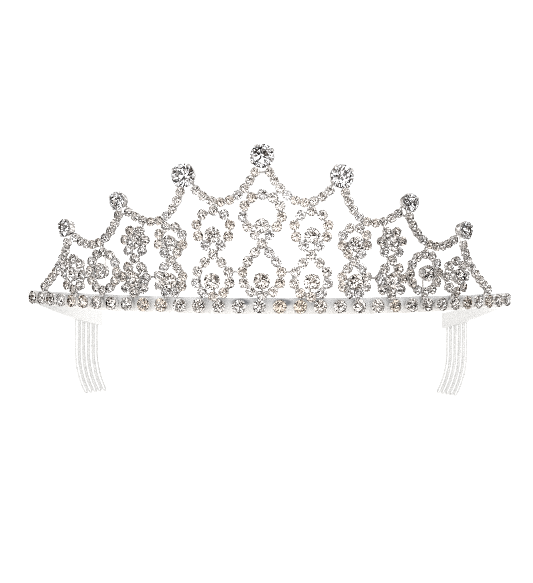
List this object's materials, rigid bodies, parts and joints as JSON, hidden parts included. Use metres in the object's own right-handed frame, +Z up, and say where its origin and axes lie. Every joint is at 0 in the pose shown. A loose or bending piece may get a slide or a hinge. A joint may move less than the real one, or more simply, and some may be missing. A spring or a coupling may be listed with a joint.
{
  "type": "bridal tiara",
  "caption": "C-shaped silver headband with a tall openwork front of crystal-set cups rising to peaks, and a small wire comb at each end.",
  "frame": {"origin": "on the inner face of the band, at its lower edge, in the middle of the front, where the tiara meets the hairline", "axes": "+Z up along the peaks, +X to the right as the tiara faces the viewer, +Y back over the head towards the combs"},
  "size_m": [0.1503, 0.122, 0.0818],
  "materials": {
    "band_silver": "bright silver plate on flat strip",
    "comb_wire": "bright silver-plated wire",
    "cup_silver": "polished rhodium-coloured plate",
    "crystal": "clear faceted crystal with foiled back"
  },
  "bodies": {
    "root": {"base_band": "band_silver", "base_cups": "cup_silver", "base_stones": "crystal", "column_centre_frame": "cup_silver", "column_centre_stones": "crystal", "column_first_left_frame": "cup_silver", "column_first_left_stones": "crystal", "column_first_right_frame": "cup_silver", "column_first_right_stones": "crystal", "column_second_left_frame": "cup_silver", "column_second_left_stones": "crystal", "column_second_right_frame": "cup_silver", "column_second_right_stones": "crystal", "column_third_left_frame": "cup_silver", "column_third_left_stones": "crystal", "column_third_right_frame": "cup_silver", "column_third_right_stones": "crystal", "comb_spine_left": "band_silver", "comb_spine_right": "band_silver", "comb_teeth_left": "comb_wire", "comb_teeth_right": "comb_wire", "garland_inner_left_frame": "cup_silver", "garland_inner_left_stones": "crystal", "garland_inner_right_frame": "cup_silver", "garland_inner_right_stones": "crystal", "garland_middle_left_frame": "cup_silver", "garland_middle_left_stones": "crystal", "garland_middle_right_frame": "cup_silver", "garland_middle_right_stones": "crystal", "garland_outer_left_frame": "cup_silver", "garland_outer_left_stones": "crystal", "garland_outer_right_frame": "cup_silver", "garland_outer_right_stones": "crystal", "inner_peak_cups": "cup_silver", "inner_peak_stones": "crystal", "outer_peak_cups": "cup_silver", "outer_peak_stones": "crystal", "rosette_left_frame": "cup_silver", "rosette_left_stones": "crystal", "rosette_right_frame": "cup_silver", "rosette_right_stones": "crystal", "side_oval_left_frame": "cup_silver", "side_oval_left_stones": "crystal", "side_oval_right_frame": "cup_silver", "side_oval_right_stones": "crystal", "side_rail_left_frame": "cup_silver", "side_rail_left_stones": "crystal", "side_rail_right_frame": "cup_silver", "side_rail_right_stones": "crystal"}
  },
  "joints": []
}
